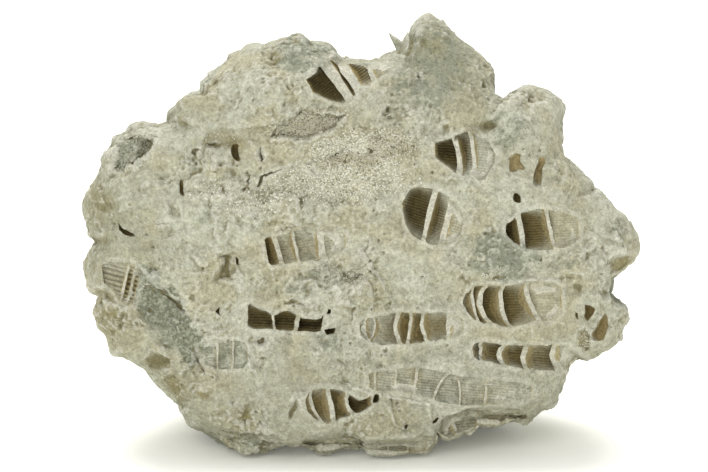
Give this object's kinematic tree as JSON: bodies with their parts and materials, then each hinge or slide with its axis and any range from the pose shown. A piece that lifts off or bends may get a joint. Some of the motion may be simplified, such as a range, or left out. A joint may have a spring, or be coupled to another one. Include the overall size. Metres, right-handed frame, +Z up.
{
  "type": "fossil fletcheria coral",
  "caption": "Lump of pale fossil coral limestone showing ribbed tube chambers crossed by thin plates, a pointed peak and crystal-lined hollows; rests on a flat patch of its underside.",
  "frame": {"origin": "centre of the lump's bounding box, at the level of the flat patch it rests on", "axes": "+X to the right along the lump's length as its best side is seen, +Y away from that viewer, +Z up"},
  "size_m": [0.093, 0.0582, 0.0697],
  "materials": {
    "fossil_stone": "rough"
  },
  "bodies": {
    "root": {"fossil_coral_block": "fossil_stone"}
  },
  "joints": []
}
